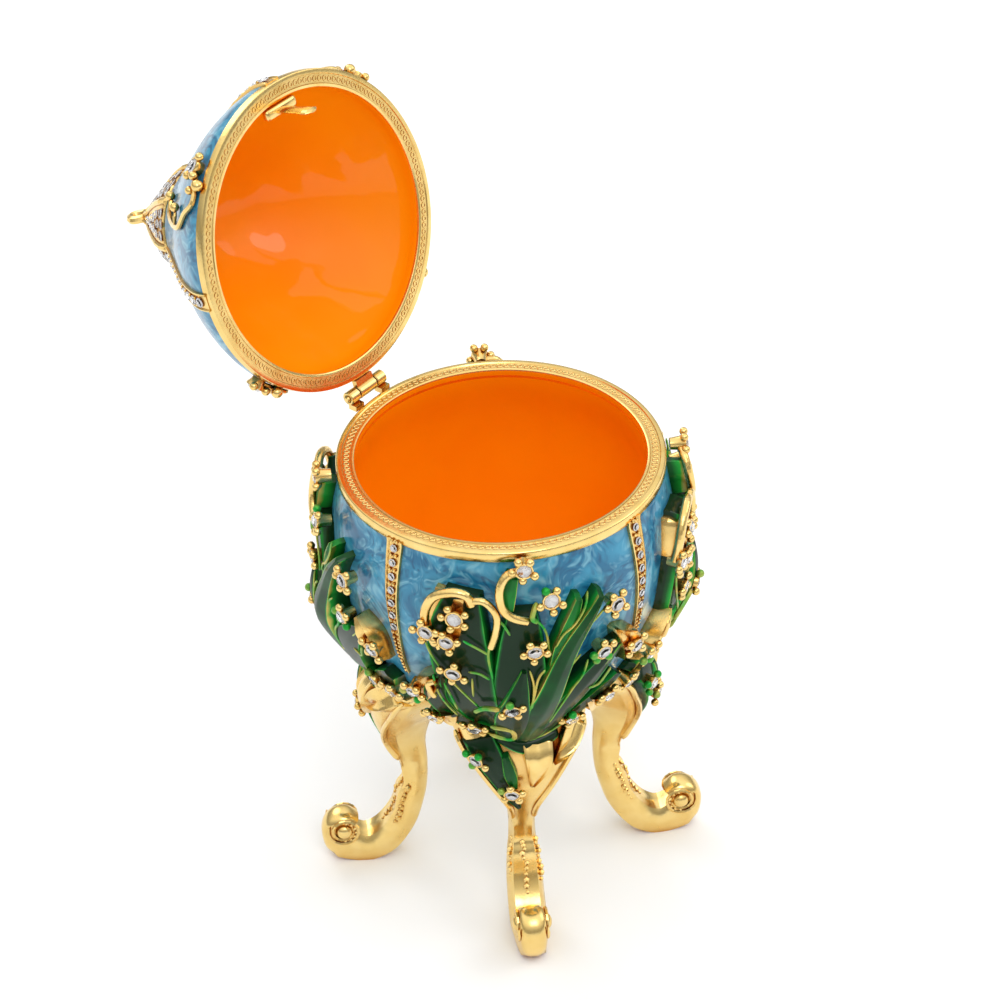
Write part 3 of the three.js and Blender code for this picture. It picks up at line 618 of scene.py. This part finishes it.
# The rolled leaf is bare gold inside, and gilt tips stand open low down at both sides.
metal.verts.layers.float.new("enamel_depth")
for spine, halves, rise, fold in (
    ([(-24.5, -17.5), (-24, -12), (-22.4, -6.4)], [1.2, 2.8, 2.4], (0.1, 0.3, 0.3), -0.5),
    ([(-28, -22.5), (-33, -26), (-38, -31)], [0.4, 2, 1], (0.4, 1.2, 0.4), -0.9),
    ([(31, -17.4), (35.5, -20), (38, -25)], [0.4, 1.9, 1.2], (0.4, 1.3, 0.6), -0.9),
    ([(26, -33), (32, -35.5), (38, -37)], [0.4, 2, 1.2], (0.4, 1.3, 0.6), -0.9),
    ([(-26, -34), (-31, -36), (-37, -37.5)], [0.4, 2, 1.2], (0.4, 1.3, 0.6), -0.9),
):
    leaf(metal, [(angle * MM_PER_DEGREE, z) for angle, z in spine], halves, rise, fold, lip=0.5, rows=14, columns=10)

BLOSSOMS = [
    (0.4, -1.2), (8, -6.7), (28.8, -10.8), (2.6, -15.6), (24.8, -19.4), (-20.5, -9.6), (-29.4, -13),
    (-23.2, -14.2), (-21.9, -20.6), (-4.4, -26.5), (-18.9, -36.2), (19.5, -36), (38.4, -22), (35, -33.8),
    (-38.8, -28.4), (-37.4, -36.4),
]
chance = random.Random(7)
bm = bmesh.new()
turned(bm, [(0, -2.4), (0.95, -2.4), (1.1, -0.9), (1.46, -0.2), (1.42, 0.04), (1.2, 0.06), (0.7, -0.45), (0, -0.55)], 12)
flower_cup = pattern_of(bm, "flower_cup")
bm = bmesh.new()
thin = bm.verts.layers.float.new("enamel_depth")
bmesh.ops.create_icosphere(bm, subdivisions=2, radius=1)
for vert in bm.verts:
    vert[thin] = 0.17
green_ball = pattern_of(bm, "green_ball")


def blossom(metal, enamel, stones, place, direction, size=1.0):
    """An open flower cup with its crystal, ringed by round buds on short arms."""
    spin = chance.uniform(0, 6.28)
    whole = seat(place, direction, size, spin)
    stamp(metal, flower_cup, whole)
    stamp(stones, brilliant, seat(place + direction * 0.1 * size, direction, 1.14 * size, spin))
    buds = chance.choice((4, 5, 5))
    for k in range(buds):
        turn = 2 * math.pi * k / buds + chance.uniform(-0.2, 0.2)
        reach = 1.82 + chance.uniform(-0.12, 0.18)
        spot = whole @ Vector((reach * math.cos(turn), reach * math.sin(turn), chance.uniform(-0.35, 0.1)))
        tinted = chance.random() < 0.12
        stamp(enamel if tinted else metal, green_ball if tinted else ball, seat(spot, direction, 0.68 * size))


leg_stones = bmesh.new()
for across, z in ((-7.6, -42), (-2.2, -48.4)):
    blossom(leg_tips, leg_top, leg_stones, over_leg(across, z, 1.9), Vector((1, 0.1 * across, -0.25)).normalized(), 0.95)
for angle, z in BLOSSOMS:
    direction = outward(bowl_point, angle, z)
    blossom(metal, leaves, stones, bowl_point(angle, z, spray_lift(angle, z) + 1.3), direction)
for corner, angle in LEG_ANGLES.items():
    spray = make_piece(f"spray_leaves_{corner}", leaves, [green], "base", angle)
    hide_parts(f"spray_{corner}")
    make_piece(f"spray_gilding_{corner}", metal, [gilt], "base", angle)
    make_piece(f"spray_crystals_{corner}", stones, [crystal, foil], "base", angle, sharp=1)
    make_piece(f"leg_top_leaves_{corner}", leg_top, [green], "base", angle)
    make_piece(f"leg_top_gilding_{corner}", leg_tips, [gilt], "base", angle)
    make_piece(f"leg_top_crystals_{corner}", leg_stones, [crystal, foil], "base", angle, sharp=1)

# ---------- the lid ----------
# The top of the egg, cast and enamelled like the bowl and shown swung open on its hinge. Its broad flat
# rim has the same row of stamped rings between plain borders.
LID_WALL = smooth_through([(24.7, 1.8), (24.1, 4.2), (22, 8.2), (19.4, 12), (13.3, 20), (10.4, 24)], 6)
LID_TOP = [(10, 24.5), (8.4, 25), (0, 27.6)]
LID_RIM = [(22.0, 0.75), (22.05, 0.42), (22.2, 0.3), (22.5, 0.3), (22.6, 0.46), (24.0, 0.46), (24.1, 0.3), (24.6, 0.3),
           (24.8, 0.36), (24.85, 0.55), (24.85, 1.55), (24.7, 1.7)]
LID_LINING = smooth_through([(0, 25), (5.6, 23.4), (9.8, 20), (13.2, 16), (16.3, 12), (21.3, 4), (21.95, 1)], 5)


def lid_point(angle, z, out):
    return around(angle, read_curve(LID_WALL, z) + out, z)


def lid_finish(radius, z):
    if z < 1.72 and radius > 21.97:
        return 0
    return 1 if radius > read_curve(LID_LINING, z) + 0.4 or z > 25.1 else 2


bm = shell(LID_LINING + LID_RIM + LID_WALL + LID_TOP, lid_finish, 3)
lid = make_piece("egg_lid", bm, [gilt, pearl, orange], "lid")
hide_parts("lid")
bm = bmesh.new()
stamped_rings(bm, 23.3, 0.47, 1.05)
make_piece("lid_rim_rings", bm, [gilt], "lid")
metal, stones = bmesh.new(), bmesh.new()
for angle in (-90, 0, 90, 180):
    stone_rows = [(2.7 + 2 * k, 0.84 - 0.03 * k) for k in range(11)]
    bead_rows = [(3.7 + 2 * k, 0.5 - 0.02 * k, 0.28) for k in range(10)]
    strip(metal, stones, lid_point, angle, (1.0, 24), (1.5, 0.9), stone_rows, bead_rows)
make_piece("lid_stone_strips", metal, [gilt], "lid")
make_piece("lid_strip_crystals", stones, [crystal, foil], "lid", sharp=1)

# ---------- the lid's sprigs ----------
# A hooked gilt stem lies on each blue panel, with a flower near the rim and two buds at its tip.
metal, stones, buds = bmesh.new(), bmesh.new(), bmesh.new()
buds.verts.layers.float.new("enamel_depth")
path = [lid_point(p.x, p.y, 0.5) for p in smooth_through(
    [(1.4, 3.6), (-9.5, 2.6), (-14, 5), (-19.2, 8), (-17.3, 13.6), (-12.4, 17), (-5, 17.6)], 6)]
sweep(metal, path, 0.42, 8)
sweep(metal, [lid_point(turn, 10, 0.6) for turn in (-18.5, -15, -11.4)], 0.35, 8)
blossom(metal, buds, stones, lid_point(2.2, 3.8, 1.5), outward(lid_point, 2.2, 3.8), 1.05)
for angle, z, radius in ((-3.4, 17.6, 0.8), (-11.4, 9.8, 0.75), (-4.4, 1.8, 0.95), (-6, 3.6, 0.7)):
    stamp(metal, ball, seat(lid_point(angle, z, 0.9), outward(lid_point, angle, z), radius))
for corner, angle in LEG_ANGLES.items():
    sprig = make_piece(f"lid_sprig_{corner}", metal, [gilt], "lid", angle)
    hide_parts(f"sprig_{corner}")
    make_piece(f"lid_sprig_crystal_{corner}", stones, [crystal, foil], "lid", angle, sharp=1)

# ---------- the crown ----------
# A cone set all over with crystals between gilt ridges, on a scalloped foot, with a cast loop at its tip.
CROWN_WALL = smooth_through([(9, 25), (8.9, 26.4), (8.1, 28.4), (6.8, 30.6), (5.3, 32.8), (3.6, 35.2),
                             (1.9, 37.4), (1, 39.2), (0, 40)], 4)
LOOP_PLACE = Vector((0, 0, 41.5))
RIDGE_ANGLES = range(0, 360, 45)


def ridged(angle, z):
    """How far the crown's radius swells at a ridge, and how high its scalloped edge is raised between two."""
    wave = math.cos(math.radians(8 * angle))
    return 1 + 0.05 * wave, 0.55 * (1 - wave) * max(0.0, 1 - (z - 25) / 2)


def crown_point(angle, z, out=0.0):
    swell, lift = ridged(angle, z)
    return around(angle, read_curve(CROWN_WALL, z) * swell + out, z + lift)


metal, stones = bmesh.new(), bmesh.new()
turned(metal, [(0, 27.8), (7.4, 25.6)] + [(p.x, p.y) for p in CROWN_WALL], 64)
for vert in metal.verts:
    swell, lift = ridged(math.degrees(math.atan2(vert.co.y, vert.co.x)), max(vert.co.z, 25))
    vert.co.xy *= swell
    vert.co.z += lift if vert.co.z < 27.7 else 0
sweep(metal, [crown_point(5 * k, 25, 0.15) for k in range(73)], [0.42] * 73, 8)
for angle in RIDGE_ANGLES:
    sweep(metal, [crown_point(angle, z, 0.15) for z in (24.6, 25.4, 27, 29, 31, 33, 35, 37, 39)],
          [0.2, 0.6, 0.5, 0.45, 0.4, 0.36, 0.34, 0.34, 0.3], 8)
# Each field between two ridges holds a triangle of crystals: (height, how many, radius).
for z, count, radius in ((26.3, 3, 0.86), (28.3, 3, 0.74), (30.2, 2, 0.84), (32.1, 2, 0.66), (33.9, 1, 0.8),
                         (35.6, 1, 0.62), (37.1, 1, 0.42)):
    for field in RIDGE_ANGLES:
        for k in range(count):
            aside = math.degrees((k - (count - 1) / 2) * 2.1 * radius / crown_point(0, z).x)
            angle = field + 22.5 + aside
            direction = (around(angle, 1, 0) + Vector((0, 0, 0.75))).normalized()
            stamp(stones, brilliant, seat(crown_point(angle, z, 0.45), direction, radius, z + k))
loop = [LOOP_PLACE + Vector((1.4 * math.cos(t), 0, 1.35 * math.sin(t) * (1 - 0.12 * math.cos(2 * t)))) for t in
        [2 * math.pi * k / 24 for k in range(25)]]
sweep(metal, loop, [0.7] * 25, 8)
crown = make_piece("crown_cone", metal, [gilt], "lid")
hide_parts("crown")
make_piece("crown_crystals", stones, [crystal, foil], "lid", sharp=1)

# ---------- the clasp tongue ----------
# A thin gilt tongue soldered under a pad on the lid's front rim; its rounded end snaps into the bowl.
bm = bmesh.new()
bmesh.ops.create_cube(bm, size=1, matrix=Matrix.Translation((0, -20.5, 1.1)) @ Matrix.Diagonal((6.8, 1.9, 1.3, 1)))
bmesh.ops.bevel(bm, geom=bm.edges[:], offset=0.6, offset_type="OFFSET", segments=3, profile=0.5,
                affect="EDGES", clamp_overlap=True, material=-1)
path = [Vector((0, -20.3, z)) for z in (1.4, 0, -1.5, -3, -4.5, -5.5, -6.1)]
blade = bmesh.new()
sweep(blade, path, [1.3, 1.25, 1.15, 1.1, 1.35, 1.3, 0.6], 16)
bmesh.ops.scale(blade, verts=blade.verts, vec=(1, 0.3, 1), space=Matrix.Translation((0, 20.3, 0)))
tongue = pattern_of(blade, "tongue_blade")
stamp(bm, tongue, Matrix.Identity(4))
clasp = make_piece("clasp_tongue_casting", bm, [gilt], "lid")
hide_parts("clasp_tongue")

# ---------- the hinge ----------
# Three knuckles turned from gilt tube and soldered to the rims, on a steel-cored pin with domed ends.
for name, body, spans, stands_for in (
    ("hinge_knuckles_bowl", "base", ((-4.1, -2.1), (2.1, 4.1)), "hinge_bowl"),
    ("hinge_knuckle_lid", "lid", ((-1.9, 1.9),), "hinge_lid"),
):
    bm = bmesh.new()
    for low, high in spans:
        tube = bmesh.new()
        turned(tube, [(0.68, low), (0.68, high), (0.95, high), (1.1, high - 0.15), (1.1, low + 0.15), (0.95, low),
                      (0.68, low)], 32)
        knuckle = pattern_of(tube, "knuckle")
        stamp(bm, knuckle, Matrix.Translation(PIN) @ Matrix.Rotation(math.pi / 2, 4, "Y"))
        tab = (26.3, 0.0) if body == "base" else (25.9, 1.35)
        made = bmesh.ops.create_cube(bm, size=1, matrix=Matrix.Translation(((low + high) / 2, tab[0], tab[1] - 0.4))
                                     @ Matrix.Diagonal((high - low - 0.1, 1.5, 0.9, 1)))
    knuckles = make_piece(name, bm, [gilt], body)
    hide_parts(stands_for)
bm = bmesh.new()
sweep(bm, [PIN + Vector((x, 0, 0)) for x in (-4.5, -4.4, -4.2, 4.2, 4.4, 4.5)], [0.3, 0.55, 0.62, 0.62, 0.55, 0.3], 16)
pin = make_piece("hinge_pin_domed", bm, [gilt], "base")
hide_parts("hinge_pin")

# ---------- the studio ----------
# A white table under broad soft lights, seen from above the front left corner.
table_finish = finish("white_table", Roughness=0.6, Base_Color=linear("FFFFFF"))
bm = bmesh.new()
bmesh.ops.create_grid(bm, x_segments=1, y_segments=1, size=30)
floor_mesh = bpy.data.meshes.new("table")
bm.to_mesh(floor_mesh)
floor_mesh.materials.append(table_finish)
floor = bpy.data.objects.new("table", floor_mesh)
bpy.context.scene.collection.objects.link(floor)

sky = bpy.data.worlds.new("studio")
sky.use_nodes = True
heading = add_node(sky, "TexCoord").outputs["Generated"]
height = add_node(sky, "SeparateXYZ", {"Vector": heading}).outputs["Z"]
glow = add_node(sky, "MapRange", {"Value": height, "From Min": 0.0, "From Max": 0.9, "To Min": 0.25, "To Max": 1.25},
                interpolation_type="SMOOTHSTEP").outputs["Result"]
sky.node_tree.links.new(glow, sky.node_tree.nodes["Background"].inputs["Strength"])
sky.node_tree.nodes["Background"].inputs["Color"].default_value = (1, 1, 1, 1)
bpy.context.scene.world = sky
middle_point = Vector((0, -0.02, 0.065))
for name, place, size, watts in (("key", (-0.35, -0.5, 0.8), 0.4, 1.5), ("fill", (0.55, -0.45, 0.5), 0.5, 0.9),
                                 ("rim", (0.2, 0.6, 0.5), 0.4, 0.8)):
    lamp = bpy.data.lights.new(name, "AREA")
    lamp.shape, lamp.size, lamp.energy = "DISK", size, watts
    holder = bpy.data.objects.new(name, lamp)
    holder.location = place
    holder.rotation_euler = (middle_point - Vector(place)).to_track_quat("-Z", "Y").to_euler()
    bpy.context.scene.collection.objects.link(holder)

lens = bpy.data.cameras.new("camera")
lens.lens, lens.sensor_width = 129.7, 36
camera = bpy.data.objects.new("camera", lens)
camera.location = (-0.34403, -0.30829, 0.40095)
forward = Vector((0.62489, 0.51601, -0.58588))
right = forward.cross(Vector((0, 0, 1))).normalized()
up = right.cross(forward)
roll = math.radians(-1.77)
right, up = math.cos(roll) * right + math.sin(roll) * up, -math.sin(roll) * right + math.cos(roll) * up
# The lens axis passes the picture's middle, so the camera turns a little instead of shifting its lens.
aim = (forward * 3604 + right * (500 - 500.77) + up * (452.73 - 500)).normalized()
side = aim.cross(up).normalized()
camera.rotation_euler = Matrix((side, side.cross(aim), -aim)).transposed().to_euler()
bpy.context.scene.collection.objects.link(camera)
bpy.context.scene.camera = camera
bpy.context.scene.view_settings.view_transform = "Standard"
